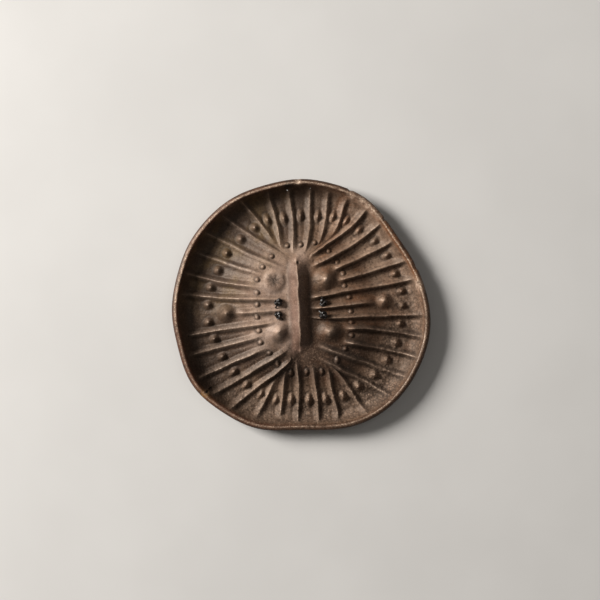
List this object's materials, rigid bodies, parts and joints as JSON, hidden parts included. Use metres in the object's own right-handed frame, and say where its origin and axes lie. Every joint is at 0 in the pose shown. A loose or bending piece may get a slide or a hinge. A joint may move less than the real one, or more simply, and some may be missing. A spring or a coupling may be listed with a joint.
{
  "type": "hide shield",
  "caption": "Round embossed hide shield with an upturned rolled rim, radiating ridges and bosses, a raised middle ridge, and a leather hand grip lashed on behind.",
  "frame": {"origin": "on the surface it lies on, under the middle of its outline", "axes": "+Z out of the embossed face, +Y along the middle ridge towards the edge with the two pierced holes, +X to the right seen from the front"},
  "size_m": [0.5782, 0.5628, 0.0763],
  "materials": {
    "hide": "dark brown embossed rawhide, waxed and worn, coarse grain near the rim",
    "grip_leather": "dark brown handled leather",
    "thong_leather": "blackened glossy leather thong"
  },
  "bodies": {
    "root": {"shield_hide": "hide", "hand_grip": "grip_leather", "thong_left": "thong_leather", "thong_right": "thong_leather"}
  },
  "joints": []
}
